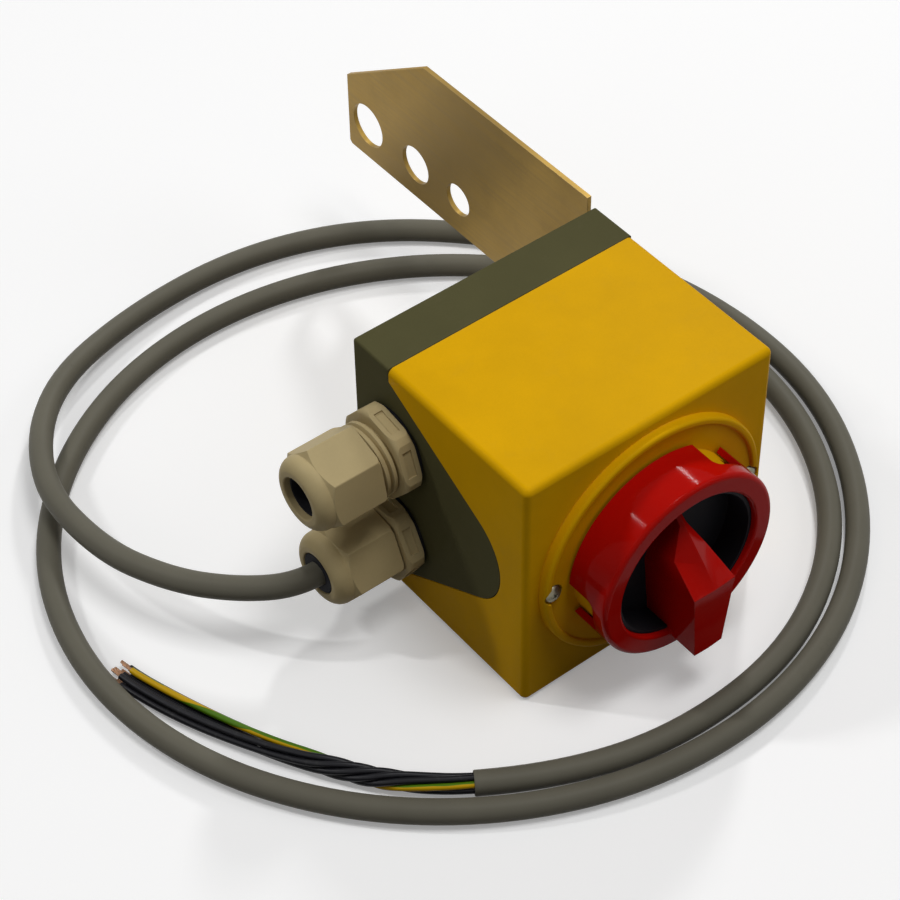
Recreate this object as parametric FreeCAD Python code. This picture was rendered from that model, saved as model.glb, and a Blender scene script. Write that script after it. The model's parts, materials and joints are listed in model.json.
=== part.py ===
import FreeCAD, Part
import math
import os

from FreeCAD import Vector

# Maintenance isolator switch, millimetres.
# The frame has +Z up, the handle faces -Y and the cable glands face -X.
# Its origin is the centre of the enclosure's bottom face.
# A depth is measured backwards from the cover's front face.

# Enclosure
width = 85.0
height = 84.0
depth = 73.3
wall = 3.0
base_wall = 3.2
floor_depth = 70.0
edge_round = 2.0
base_round = 0.8
seam_depth = 58.0
tongue_round = 17.5
tongue_centre = 28.2
tongue_slope = 30.0
seam_gap = 0.2
gasket_thick = 1.2
axis_z = 42.0
screw_x = 34.7
screw_head = 2.9

# Front plate and handle
plate_r = 38.0
plate_thick = 3.0
collar_r = 27.4
collar_wall = 1.4
collar_depth = -11.0
ring_r = 29.8
rim_r = 23.7
ring_front = -17.4
ring_back = -2.8
liner_front = -15.7
hub_r = 9.0
running_gap = 0.08
slot_width = 13.0
slot_front = -12.4
slot_angles = (54.0, 190.0, 302.5)
off_turn = 90.0
grip_front = -27.3
grip_low = -25.0
grip_foot = 4.9
grip_wide = 7.2

# Switch block
shaft_side = 6.0
block_x = 22.0
block_z = 27.0
latch_front = 22.0
deck_front = 32.0
deck_depth = 15.0
deck_count = 2
cam_low = 8.0
cam_lift = 4.0
cam_clear = 0.25
contact_z = 12.6
contact_y = 3.0
terminal_x = 25.0

# Cable glands on the left face: name, height, unscrewed length of the nut, turn of body and of nut
gland_depth = 56.0
glands = (("upper", 57.3, 4.5, 10.0, 18.0), ("lower", 24.0, 0.0, 1.0, 6.0))
gland_hex = 25.8
nut_hex = 22.4
nut_start = 7.3
nut_length = 20.8
nut_dome = 4.6
mouth_r = 6.4
seal_r = 5.5
thread_r = 10.0
neck_r = 9.9
cable_r = 3.6

# Bracket
sheet = 1.5
fold_r = 2.0
bracket_low = 33.1
bracket_high = 86.6
foot_high = 80.0
bracket_end = 190.0
bracket_cut = 150.5
bracket_cut_z = 60.1
bracket_chamfer = 1.0
bracket_left = 14.0
bracket_holes = ((180.0, 7.5), (155.7, 6.5), (134.6, 5.5))
bracket_hole_z = 45.9
bracket_screw_x = (26.0, -12.0)
bracket_screw_z = (42.0, 66.0)

# Route of the cable from the lower gland, and its far end
cable_route = (
    (-61.3, 19.35, 24.0), (-77.3, 19.35, 24.0), (-90.2, 29.0, 22.8), (-101.5, 44.8, 20.5),
    (-109.5, 70.5, 16.5), (-107.5, 108.0, 12.0), (-84.0, 141.5, 8.5), (-44.0, 157.0, 4.5),
    (-0.5, 159.0, 3.6), (38.5, 145.0, 3.6), (70.0, 116.5, 3.6), (93.0, 80.0, 3.6),
    (104.0, 39.0, 3.6), (101.0, -3.0, 3.6), (81.5, -41.0, 3.6), (50.0, -69.0, 3.6),
    (10.0, -82.5, 3.6), (-32.5, -80.5, 3.6), (-71.5, -64.5, 3.6), (-104.0, -37.0, 3.6),
    (-126.0, -0.5, 3.6), (-133.0, 41.0, 3.6), (-123.0, 82.0, 3.6), (-97.5, 114.5, 3.6),
    (-61.5, 135.5, 3.6), (-20.0, 141.5, 3.6), (21.5, 132.0, 3.6), (58.0, 108.5, 3.6),
    (84.5, 73.0, 3.6), (95.5, 30.5, 3.6), (88.5, -12.0, 3.6), (65.0, -48.0, 3.6),
    (28.0, -70.5, 3.6), (-15.0, -74.5, 3.6), (-51.0, -65.0, 3.6), (-72.0, -51.5, 3.6),
)
core_r = 0.95
conductor_r = 0.55
core_line = (
    (-72.0, -51.5), (-79.0, -47.0), (-90.0, -33.4), (-102.4, -14.6), (-113.0, 8.0), (-122.5, 34.5),
)
core_start = (
    (-1.08, 1.74), (1.08, 1.74), (-2.15, 3.6), (2.15, 3.6), (-1.08, 5.46), (1.08, 5.46), (0.0, 3.6),
)
core_spread = (
    (-1.1, 1.0), (1.1, 1.0), (-2.9, 1.9), (2.9, 1.9), (-1.95, 3.9), (1.95, 3.9), (0.0, 2.95),
)
core_lie = (
    (-1.1, 1.0), (1.1, 1.0), (-3.25, 1.0), (3.25, 1.0), (-2.2, 2.85), (2.2, 2.85), (0.0, 2.85),
)
core_short = (0.0, 4.0, 1.5, 5.0, 3.0, 1.0, 2.0)
bare_end = 5.0


def dy(d):
    """Y of a depth behind the cover's front face."""
    return d - depth / 2


def box(x0, x1, d0, d1, z0, z1):
    """Box between two x, two depths and two heights."""
    return Part.makeBox(x1 - x0, d1 - d0, z1 - z0, Vector(x0, dy(d0), z0))


def rod_y(r, d0, d1, x=0.0, z=axis_z):
    """Cylinder along the depth."""
    return Part.makeCylinder(r, d1 - d0, Vector(x, dy(d0), z), Vector(0, 1, 0))


def rod_x(r, x0, x1, d, z):
    """Cylinder along X."""
    return Part.makeCylinder(r, x1 - x0, Vector(x0, dy(d), z), Vector(1, 0, 0))


def rod_z(r, z0, z1, x, d):
    """Cylinder along Z."""
    return Part.makeCylinder(r, z1 - z0, Vector(x, dy(d), z0))


def face_of(points):
    """Flat face inside a closed outline."""
    return Part.Face(Part.makePolygon(list(points) + [points[0]]))


def drawn_face(profile, place):
    """Flat face inside an outline of points; a pair of points stands for an arc through one to the other."""
    edges = []
    last = place(profile[0])
    for item in profile[1:] + profile[:1]:
        if isinstance(item[0], tuple):
            end = place(item[1])
            edges.append(Part.Arc(last, place(item[0]), end).toShape())
        else:
            end = place(item)
            edges.append(Part.LineSegment(last, end).toShape())
        last = end
    return Part.Face(Part.Wire(edges))


def turned_y(profile, x=0.0, z=axis_z):
    """Solid of revolution about the depth axis from (radius, depth) points."""
    face = drawn_face(profile, lambda p: Vector(x + p[0], dy(p[1]), z))
    return face.revolve(Vector(x, 0, z), Vector(0, 1, 0), 360)


def turned_x(profile, d, z):
    """Solid of revolution about an axis along X from (x, radius) points."""
    face = drawn_face(profile, lambda p: Vector(p[0], dy(d), z + p[1]))
    return face.revolve(Vector(0, dy(d), z), Vector(1, 0, 0), 360)


def hexagon_x(flats, x0, x1, d, z, first=30.0):
    """Hexagonal bar along X."""
    radius = flats / math.sqrt(3)
    points = []
    for k in range(6):
        a = math.radians(first + 60 * k)
        points.append(Vector(x0, dy(d) + radius * math.cos(a), z + radius * math.sin(a)))
    return face_of(points).extrude(Vector(x1 - x0, 0, 0))


def joined(shapes):
    """One solid out of pieces that overlap."""
    return shapes[0].multiFuse(shapes[1:]).removeSplitter()


def mirrored_x(shape):
    """Copy on the other side of the middle plane."""
    return shape.mirror(Vector(0, 0, 0), Vector(1, 0, 0))


def about_axis(shape, angle):
    """Copy turned about the handle's axis, clockwise seen from the front."""
    copy = shape.copy()
    copy.rotate(Vector(0, 0, axis_z), Vector(0, 1, 0), angle)
    return copy


def envelope():
    """Rounded outer block of the cover, as deep as the closed enclosure."""
    block = box(-width / 2, width / 2, 0, depth, 0, height)
    return block.makeFillet(edge_round, block.Edges)


def base_block():
    """Outer block of the base, with slightly rounded edges along the depth and round the back."""
    block = box(-width / 2, width / 2, 0, depth, 0, height)
    sides = [edge for edge in block.Edges if abs(edge.tangentAt(edge.FirstParameter).y) > 0.9]
    block = block.makeFillet(base_round, sides)
    back = [edge for edge in block.Edges if abs(edge.CenterOfMass.y - dy(depth)) < 0.01]
    return block.makeFillet(base_round / 2, back)


def base_side(offset):
    """Region of the base seen from the side, grown by an offset, right across the width."""
    slope = math.radians(tongue_slope)
    r = tongue_round + offset
    back = seam_depth - offset
    half = (r + math.sin(slope) * (back - tongue_centre)) / math.cos(slope)
    x = -width
    low = Vector(x, dy(tongue_centre - r * math.sin(slope)), axis_z - r * math.cos(slope))
    high = Vector(x, dy(tongue_centre - r * math.sin(slope)), axis_z + r * math.cos(slope))
    tip = Vector(x, dy(tongue_centre - r), axis_z)
    corners = [
        high,
        Vector(x, dy(back), axis_z + half),
        Vector(x, dy(back), 2 * height),
        Vector(x, dy(2 * depth), 2 * height),
        Vector(x, dy(2 * depth), -height),
        Vector(x, dy(back), -height),
        Vector(x, dy(back), axis_z - half),
        low,
    ]
    edges = [Part.LineSegment(a, b).toShape() for a, b in zip(corners, corners[1:])]
    edges.append(Part.Arc(low, tip, high).toShape())
    return Part.Face(Part.Wire(edges)).extrude(Vector(2 * width, 0, 0))


def inset(margin, d0, d1):
    """Block inside the enclosure's outline by a margin."""
    return box(margin - width / 2, width / 2 - margin, d0, d1, margin, height - margin)


def cover():
    """Front cover with cut-outs for the base's tongues, hub bore and screw bosses."""
    shell = envelope().cut(inset(wall, wall, 2 * depth))
    bosses = []
    for side in (-1, 1):
        boss = rod_y(5.0, wall - 1, 10.2, side * screw_x)
        bosses.append(boss.common(envelope()))
    shell = joined([shell] + bosses)
    shell = shell.cut(base_side(seam_gap))
    shell = shell.cut(base_side(gasket_thick).common(inset(1.0, 0, depth)))
    shell = shell.cut(rod_y(hub_r + 0.6, -1, wall + 1))
    shell = shell.cut(rod_y(hub_r + 2.0, -1, 2.2))
    for side in (-1, 1):
        shell = shell.cut(rod_y(2.2, -1, 12, side * screw_x))
    return shell


def cover_gasket():
    """Seal that follows the seam between cover and base."""
    band = base_side(gasket_thick - 0.05).cut(base_side(0.05))
    return band.common(inset(1.05, 0, depth).cut(inset(wall - 0.1, -1, depth + 1)))


def base():
    """Base tray with its two tongues, posts, pillars, entries and blind entries."""
    shell = base_block().common(base_side(0.0)).cut(inset(base_wall, -1, floor_depth))
    posts = []
    for side in (-1, 1):
        x = side * screw_x
        posts.append(rod_y(3.1, 10.4, floor_depth + 1, x))
        rib = sorted((x, side * (width / 2 - 1)))
        posts.append(box(rib[0], rib[1], 13.0, floor_depth + 1, axis_z - 1.2, axis_z + 1.2))
    for x, z in mounting_points():
        posts.append(rod_y(4.0, 65.0, floor_depth + 1, x, z))
    shell = joined([shell] + posts)
    for side in (-1, 1):
        shell = shell.cut(rod_y(1.7, 10, 26, side * screw_x))
    for x, z in mounting_points():
        shell = shell.cut(rod_y(1.4, 64, 71, x, z))
    for name, z, out, turn, nut_turn in glands:
        shell = shell.cut(rod_x(thread_r + 0.2, -width, 0, gland_depth, z))
        ring = rod_x(10.6, 0, width, gland_depth, z).cut(rod_x(9.8, -1, width + 1, gland_depth, z))
        shell = shell.cut(ring.common(box(width / 2 - 0.8, width, 0, depth, 0, height)))
    for x, z in bracket_points():
        shell = shell.cut(rod_y(2.2, 60, depth + 1, x, z))
    return shell


def mounting_points():
    """Screw positions of the switch block on the base."""
    return [(sx * 16.0, axis_z + sz * 32.5) for sx in (-1, 1) for sz in (-1, 1)]


def front_plate():
    """Round plate with a raised rim and a collar with padlock windows."""
    rim = plate_r
    inner = hub_r + running_gap
    profile = [
        (inner, 0.0), (rim, 0.0), (rim, -2.0), ((rim - 0.29, -2.71), (rim - 1.0, -plate_thick)),
        (rim - 1.6, -plate_thick), ((rim - 2.17, -2.77), (rim - 2.4, -2.2)), (rim - 2.4, -2.0),
        (collar_r, -2.0), (collar_r, collar_depth), (collar_r - collar_wall, collar_depth),
        (collar_r - collar_wall, -2.2), (inner, -2.2),
    ]
    plate = turned_y(profile)
    for angle in slot_angles:
        plate = plate.cut(padlock_slot(angle + off_turn, collar_r - 3, collar_r + 1, slot_front, -6.0))
    for side in (-1, 1):
        plate = plate.cut(rod_y(2.2, -5, 1, side * screw_x))
        plate = plate.cut(rod_y(screw_head + 0.2, -5, -1.4, side * screw_x))
    return plate


def padlock_slot(angle, r0, r1, d0, d1):
    """Radial cutter for one padlock slot with rounded front corners; the angle runs from +X towards +Z."""
    cutter = box(r0, r1, d0, d1, axis_z - slot_width / 2, axis_z + slot_width / 2)
    corners = []
    for edge in cutter.Edges:
        if abs(edge.tangentAt(edge.FirstParameter).x) > 0.9 and abs(edge.CenterOfMass.y - dy(d0)) < 0.01:
            corners.append(edge)
    return about_axis(cutter.makeFillet(2.6, corners), -angle)


def cover_screws():
    """Two long screws through plate, cover and posts."""
    screws = []
    for side in (-1, 1):
        x = side * screw_x
        shank = rod_y(1.65, -1.5, 24, x)
        r = screw_head
        head = turned_y([(0.0, -1.4), (r, -1.4), (r, -1.9), ((r * 0.64, -2.8), (0.0, -3.2))], x)
        cross = box(x - 0.5, x + 0.5, -4, -2.1, axis_z - 1.7, axis_z + 1.7)
        cross = cross.fuse(box(x - 1.7, x + 1.7, -4, -2.1, axis_z - 0.5, axis_z + 0.5))
        screws.append(joined([shank, head]).cut(cross))
    return Part.makeCompound(screws)


def hub_seal():
    """Lip seal round the handle's hub in the cover's counterbore."""
    inner = hub_r + running_gap
    return turned_y([(inner, 0.1), (inner + 1.8, 0.1), (inner + 1.8, 2.1), (inner, 2.1)])


def hub_ring():
    """Retaining ring in the hub's groove, open at one side."""
    ring = turned_y([(hub_r - 1.0, 3.7), (hub_r + 2.4, 3.7), (hub_r + 2.4, 4.7), (hub_r - 1.0, 4.7)])
    return ring.cut(box(-3.0, 3.0, 3, 6, axis_z - 15, axis_z))


def grip_section(z, half, shoulder, front, margin):
    """Level section of the grip: sides, shoulders and a ridge in the middle."""
    half = half + margin
    corners = [
        Vector(-half, dy(-5.0), z), Vector(half, dy(-5.0), z), Vector(half, dy(shoulder), z),
        Vector(0, dy(front), z), Vector(-half, dy(shoulder), z),
    ]
    return Part.makePolygon(corners + corners[:1])


def grip(margin=0.0):
    """Arrow-shaped grip: a fin that widens up to the axis and a ridged point above it."""
    crease = axis_z - 0.4
    fin = Part.makeLoft([
        grip_section(axis_z + grip_low, grip_foot, grip_front + 0.6, grip_front + 0.4, margin),
        grip_section(crease, grip_wide, grip_front, grip_front - 0.3, margin),
    ], True, True)
    point = Part.makeLoft([
        grip_section(crease, grip_wide, grip_front, grip_front - 0.3, margin),
        grip_section(axis_z + 5.4, 5.6, -17.0, -22.8, margin),
        grip_section(axis_z + 13.5, 1.2, -13.6, -14.6, margin),
        grip_section(axis_z + 19.5 + margin, 0.6, -7.6, -8.0, margin),
    ], True, True)
    room = turned_y([
        (0, grip_front - 1), (ring_r, grip_front - 1), (ring_r, ring_front + 3),
        (rim_r + 0.5, ring_front + 3), (rim_r + 0.5, -4.8), (0, -4.8),
    ])
    return joined([fin, point]).common(room)


def handle():
    """Red ring handle with grip, hub, channel for the collar and padlock slots."""
    cup = collar_r - collar_wall - 0.5
    profile = [
        (0, -6.2), (rim_r, -6.2), (rim_r, ring_front + 0.9),
        ((rim_r + 0.26, ring_front + 0.26), (rim_r + 0.9, ring_front)),
        (ring_r - 1.5, ring_front), ((ring_r - 0.44, ring_front + 0.44), (ring_r, ring_front + 1.5)),
        (ring_r, ring_back), (collar_r + 0.5, ring_back), (collar_r + 0.5, collar_depth - 0.6),
        (cup, collar_depth - 0.6), (cup, -4.6), (hub_r, -4.6), (hub_r, 3.6),
        (hub_r - 1.1, 3.6), (hub_r - 1.1, 4.8), (hub_r, 4.8), (hub_r, 6.5), (0, 6.5),
    ]
    body = joined([turned_y(profile), grip()])
    side = shaft_side / 2 + 0.05
    body = body.cut(box(-side, side, -3.0, 8.0, axis_z - side, axis_z + side))
    for angle in slot_angles:
        body = body.cut(padlock_slot(angle, rim_r + 1.5, ring_r + 2, slot_front, 0))
        body = body.cut(padlock_slot(angle, rim_r - 2, rim_r + 3, slot_front, -7.0))
    return body


def handle_liner():
    """Black lining of the handle's hollow, open where the grip passes."""
    outer = rim_r - 0.1
    inner = rim_r - 1.2
    profile = [
        (0, -6.3), (outer, -6.3), (outer, liner_front), (inner, liner_front),
        (inner, -7.4), (0, -7.4),
    ]
    liner = turned_y(profile)
    liner = liner.cut(grip(0.1))
    for angle in slot_angles:
        liner = liner.cut(padlock_slot(angle, rim_r - 4, rim_r + 3, slot_front, -7.5))
    return liner


def shaft():
    """Square shaft from the handle's hub to the end plate."""
    half = shaft_side / 2
    return box(-half, half, -2.8, 62.6, axis_z - half, axis_z + half)


def square_hole(d0, d1):
    """Cutter for a hole that the shaft fills."""
    half = shaft_side / 2 + 0.05
    return box(-half, half, d0, d1, axis_z - half, axis_z + half)


def cam_outline(lift):
    """Two-lobed cam: the radius falls and rises evenly with the angle."""
    edges = []
    for quarter in range(4):
        points = []
        for step in range(7):
            a = quarter * 90 + step * 15
            part = abs(90 - a % 180) / 90.0
            r = cam_low + lift * part
            angle = math.radians(a)
            points.append(Vector(r * math.cos(angle), 0, axis_z + r * math.sin(angle)))
        curve = Part.BSplineCurve()
        curve.interpolate(points)
        edges.append(curve.toShape())
    return Part.Face(Part.Wire(edges))


def cam(index):
    """Contact cam of one deck."""
    start = deck_front + index * deck_depth + 2.6
    plate = cam_outline(cam_lift)
    plate.translate(Vector(0, dy(start), 0))
    return plate.extrude(Vector(0, 10.0, 0)).cut(square_hole(0, depth))


def latch_block():
    """Square block that the leaf springs hold in its quarter-turn positions."""
    block = box(-7.0, 7.0, latch_front + 2.4, latch_front + 9.0, axis_z - 7.0, axis_z + 7.0)
    long_edges = [e for e in block.Edges if abs(e.tangentAt(0).y) > 0.9]
    block = block.makeFillet(2.0, long_edges)
    return block.cut(square_hole(0, depth))


def latch_housing():
    """Front housing of the switch block with the latch chamber."""
    body = box(-block_x, block_x, latch_front, deck_front, axis_z - block_z, axis_z + block_z)
    body = body.cut(rod_y(11.0, latch_front + 2, deck_front + 1))
    body = body.cut(box(-11, 11, latch_front + 2, deck_front + 1, axis_z - 14, axis_z + 14))
    body = body.cut(rod_y(5.2, latch_front - 1, deck_front))
    return cut_tie_holes(body)


def latch_springs():
    """Two leaf springs beside the latch block."""
    leaves = []
    for side in (-1, 1):
        x = sorted((side * 7.1, side * 7.8))
        leaves.append(box(x[0], x[1], latch_front + 2.6, latch_front + 8.8, axis_z - 13.8, axis_z + 13.8))
    return Part.makeCompound(leaves)


def tie_points():
    """Positions of the screws that hold the block together."""
    return [(sx * 18.0, axis_z + sz * 22.5) for sx, sz in ((-1, -1), (1, 1), (-1, 1), (1, -1))]


def cut_tie_holes(body):
    """Clearance holes for the tie screws."""
    for x, z in tie_points():
        body = body.cut(rod_y(1.7, 0, depth, x, z))
    return body


def deck_middle(index):
    """Depth of the middle of a deck's contact chamber."""
    return deck_front + index * deck_depth + 8.2


def deck(index):
    """Contact deck: cam chamber, plunger guides, bridge chambers and terminal seats."""
    start = deck_front + index * deck_depth
    mid = deck_middle(index)
    body = box(-block_x, block_x, start, start + deck_depth, axis_z - block_z, axis_z + block_z)
    body = body.cut(rod_y(cam_low + cam_lift + 0.8, start + 2, start + deck_depth + 1))
    body = body.cut(rod_y(5.2, start - 1, start + 4))
    for sz in (-1, 1):
        guide = sorted((axis_z + sz * 5, axis_z + sz * 25.5))
        body = body.cut(box(-4.4, 4.4, mid - 4.4, mid + 4.4, guide[0], guide[1]))
        chamber = sorted((axis_z + sz * contact_z, axis_z + sz * 19.2))
        body = body.cut(box(-13.2, 13.2, mid - 3.8, mid + 3.8, chamber[0], chamber[1]))
        seat = sorted((axis_z + sz * 10.9, axis_z + sz * (contact_z + 0.1)))
        for side in (-1, 1):
            x = sorted((side * 6.9, side * 30))
            body = body.cut(box(x[0], x[1], mid - contact_y - 0.1, mid + contact_y + 0.1, seat[0], seat[1]))
    return cut_tie_holes(body)


def fixed_contacts(index):
    """Four contact bars of one deck, each with a threaded terminal end."""
    mid = deck_middle(index)
    bars = []
    for sz in (-1, 1):
        z = sorted((axis_z + sz * 11.0, axis_z + sz * contact_z))
        for side in (-1, 1):
            x = sorted((side * 7.2, side * 28.0))
            bar = box(x[0], x[1], mid - contact_y, mid + contact_y, z[0], z[1])
            bars.append(bar.cut(rod_z(1.55, z[0] - 1, z[1] + 1, side * terminal_x, mid)))
    return Part.makeCompound(bars)


def terminal_screws():
    """Clamping screws in the ends of the contact bars."""
    screws = []
    for index in range(deck_count):
        mid = deck_middle(index)
        for sz in (-1, 1):
            for side in (-1, 1):
                x = side * terminal_x
                shank = sorted((axis_z + sz * 8.0, axis_z + sz * 15.0))
                head = sorted((axis_z + sz * 14.0, axis_z + sz * 16.0))
                screw = rod_z(1.5, shank[0], shank[1], x, mid).fuse(rod_z(2.7, head[0], head[1], x, mid))
                slot = sorted((axis_z + sz * 15.2, axis_z + sz * 17.0))
                screws.append(screw.cut(box(x - 3, x + 3, mid - 0.4, mid + 0.4, slot[0], slot[1])))
    return Part.makeCompound(screws)


def plunger(index, sz):
    """Sliding plunger with a rounded foot, a window for the bridge and a spring seat."""
    mid = deck_middle(index)
    foot = cam_low + cam_clear
    z = sorted((axis_z + sz * (foot + 1.5), axis_z + sz * 17.2))
    body = box(-4.0, 4.0, mid - 4.0, mid + 4.0, z[0], z[1])
    nose = rod_y(1.5, mid - 4.0, mid + 4.0, 0, axis_z + sz * (foot + 1.5))
    neck = sorted((axis_z + sz * (foot + 1.0), axis_z + sz * (foot + 3.0)))
    nose = nose.fuse(box(-1.5, 1.5, mid - 4.0, mid + 4.0, neck[0], neck[1]).common(body))
    window = sorted((axis_z + sz * (contact_z + 0.05), axis_z + sz * (contact_z + 1.65)))
    body = joined([body, nose])
    return body.cut(box(-5, 5, mid - 2.6, mid + 2.6, window[0], window[1]))


def bridge(index, sz):
    """Contact bridge across both fixed contacts, with two contact tips."""
    mid = deck_middle(index)
    z = sorted((axis_z + sz * (contact_z + 0.35), axis_z + sz * (contact_z + 1.55)))
    bar = box(-12.4, 12.4, mid - 2.5, mid + 2.5, z[0], z[1])
    tip_z = sorted((axis_z + sz * (contact_z + 0.05), axis_z + sz * (contact_z + 0.6)))
    tips = [rod_z(1.8, tip_z[0], tip_z[1], side * 10.0, mid) for side in (-1, 1)]
    return joined([bar] + tips)


def contact_spring(index, sz):
    """Contact spring between plunger and deck, as a sleeve of its outer size."""
    mid = deck_middle(index)
    low = 17.3
    high = 25.4
    span = sorted((axis_z + sz * low, axis_z + sz * high))
    return rod_z(3.2, span[0], span[1], 0, mid).cut(rod_z(2.4, span[0], span[1], 0, mid))


def end_plate():
    """Rear plate of the switch block with fixing ears."""
    start = deck_front + deck_count * deck_depth
    body = box(-block_x, block_x, start, start + 3.0, axis_z - 36.5, axis_z + 36.5)
    long_edges = [e for e in body.Edges if abs(e.tangentAt(0).y) > 0.9]
    body = body.makeFillet(4.0, long_edges)
    body = body.cut(square_hole(start - 1, start + 1.0))
    body = body.cut(rod_y(4.4, start - 1, start + 1.2))
    for x, z in mounting_points():
        body = body.cut(rod_y(1.7, start - 1, start + 4, x, z))
    return cut_tie_holes(body)


def pan_screw(r, head_r, head, d0, d1, x, z):
    """Screw along the depth with its head to the front."""
    shank = rod_y(r, d0 - 0.1, d1, x, z)
    side = d0 - head * 0.5
    cap = turned_y([(0, d0), (head_r, d0), (head_r, side), (head_r * 0.6, d0 - head), (0, d0 - head)], x, z)
    slot = box(x - head_r, x + head_r, d0 - head - 1, d0 - head * 0.5, z - 0.4, z + 0.4)
    return joined([shank, cap]).cut(slot)


def tie_screws():
    """Long screws from the latch housing to the end plate."""
    end = deck_front + deck_count * deck_depth + 3.0
    return Part.makeCompound([pan_screw(1.5, 2.8, 1.8, latch_front, end, x, z) for x, z in tie_points()])


def mounting_screws():
    """Screws that hold the end plate on the base's pillars."""
    start = deck_front + deck_count * deck_depth
    end = start + 8.0
    return Part.makeCompound([pan_screw(1.35, 2.8, 1.8, start, end, x, z) for x, z in mounting_points()])


def earth_terminal():
    """Earth terminal block on the base's floor."""
    block = box(-34.0, -24.0, floor_depth - 9.0, floor_depth, 4.0, 11.0)
    block = block.cut(rod_x(2.2, -40, 0, floor_depth - 5.5, 7.5))
    return block.cut(rod_y(1.6, 50, floor_depth - 6, -29.0, 7.5))


def earth_screw():
    """Clamping screw of the earth terminal."""
    return pan_screw(1.5, 2.8, 1.8, floor_depth - 9.0, floor_depth - 6.3, -29.0, 7.5)


def gland_body(z, turn):
    """Gland body: inner thread, hexagon flange with shallow recesses, outer thread and claws."""
    x0 = -width / 2
    flange = hexagon_x(gland_hex, x0 - 6.9, x0 - 1.2, gland_depth, z, turn)
    limit = turned_x([
        (x0 - 6.9, 0), (x0 - 6.9, 12.7), ((x0 - 6.4, 13.8), (x0 - 5.3, 14.3)), (x0 - 2.2, 14.3),
        ((x0 - 1.5, 14.0), (x0 - 1.2, 13.3)), (x0 - 1.2, 0),
    ], gland_depth, z)
    flange = flange.common(limit)
    for k in range(6):
        low = z + gland_hex / 2 - 0.6
        recess = box(x0 - 5.4, x0 - 2.6, gland_depth - 4.0, gland_depth + 4.0, low, low + 5.0)
        recess.rotate(Vector(0, dy(gland_depth), z), Vector(1, 0, 0), turn - 60 + 60 * k)
        flange = flange.cut(recess)
    tube = turned_x([
        (x0 + 12.0, 6.4), (x0 + 12.0, thread_r - 0.6), (x0 + 11.4, thread_r), (x0 - 2, thread_r),
        (x0 - 2, neck_r), (x0 - 16.4, neck_r), (x0 - 17.0, 8.7), (x0 - 21.2, 8.3), (x0 - 21.2, 7.4),
        (x0 - 14.0, 7.4), (x0 - 14.0, 6.4),
    ], gland_depth, z)
    body = joined([flange.cut(rod_x(7.5, -2 * width, 0, gland_depth, z)), tube])
    for k in range(4):
        slot = box(x0 - 22, x0 - 17.4, gland_depth - 12, gland_depth + 12, z - 0.6, z + 0.6)
        slot.rotate(Vector(0, dy(gland_depth), z), Vector(1, 0, 0), 45 * k)
        body = body.cut(slot)
    return body


def gland_washer(z):
    """Flat sealing washer under the gland's flange."""
    x0 = -width / 2
    return turned_x([(x0, 10.3), (x0, 12.6), (x0 - 1.15, 12.6), (x0 - 1.15, 10.3)], gland_depth, z)


def gland_locknut(z):
    """Hexagon locknut inside the wall."""
    x0 = base_wall - width / 2
    nut = hexagon_x(24.0, x0 + 0.05, x0 + 5.0, gland_depth, z, 0.0)
    return nut.cut(rod_x(thread_r + 0.05, -width, 0, gland_depth, z))


def gland_seal(z, bore):
    """Rubber seal inside the claws, ending in a tapered lip."""
    x0 = -width / 2
    return turned_x([
        (x0 - 14.1, bore), (x0 - 14.1, 7.3), (x0 - 21.25, 7.3), (x0 - 21.25, 8.2), (x0 - 22.2, 8.2),
        (x0 - 25.0, 6.2), (x0 - 27.7, 6.2), (x0 - 27.9, 6.0), (x0 - 27.9, bore),
    ], gland_depth, z)


def gland_nut(z, out, turn):
    """Dome nut: six flats that run out into a rounded end."""
    start = -width / 2 - nut_start - out
    end = start - nut_length
    flat = nut_hex / 2 - 0.05
    dome = turned_x([
        (start, 0.0), (start, flat + 1.0), ((start - 0.3, flat + 1.45), (start - 0.9, flat + 1.7)),
        (end + nut_dome + 1.2, flat + 1.7), (end + nut_dome, flat),
        ((end + 1.45, 10.25), (end, 8.0)), (end, mouth_r), (end, 0.0),
    ], gland_depth, z)
    dome = dome.common(hexagon_x(nut_hex, end - 1, start + 1, gland_depth, z, turn))
    bore = turned_x([
        (start + 1, 0.0), (start + 1, neck_r + 0.1), (start - 10.5, neck_r + 0.1), (start - 11.5, 9.0),
        (start - 14.3, 8.8), (start - 17.9, mouth_r), (end + 0.5, mouth_r),
        ((end + 0.15, mouth_r + 0.15), (end, mouth_r + 0.5)), (end - 1, mouth_r + 0.5), (end - 1, 0.0),
    ], gland_depth, z)
    return dome.cut(bore)


def bracket_foot():
    """Short leg of the folded bracket on the base's back, with the fold."""
    right = width / 2
    outer = fold_r
    inner = fold_r - sheet
    y0 = depth
    side = math.sqrt(0.5)
    profile = [
        (bracket_left - right, y0), (right - outer, y0),
        ((right - outer + outer * side, y0 + outer - outer * side), (right, y0 + outer)),
        (right - sheet, y0 + outer),
        ((right - outer + inner * side, y0 + outer - inner * side), (right - outer, y0 + sheet)),
        (bracket_left - right, y0 + sheet),
    ]
    face = drawn_face(profile, lambda p: Vector(p[0], dy(p[1]), bracket_low))
    plate = face.extrude(Vector(0, 0, foot_high - bracket_low))
    for x, z in bracket_points():
        plate = plate.cut(rod_y(2.2, y0 - 1, y0 + sheet + 1, x, z))
    return plate


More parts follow.
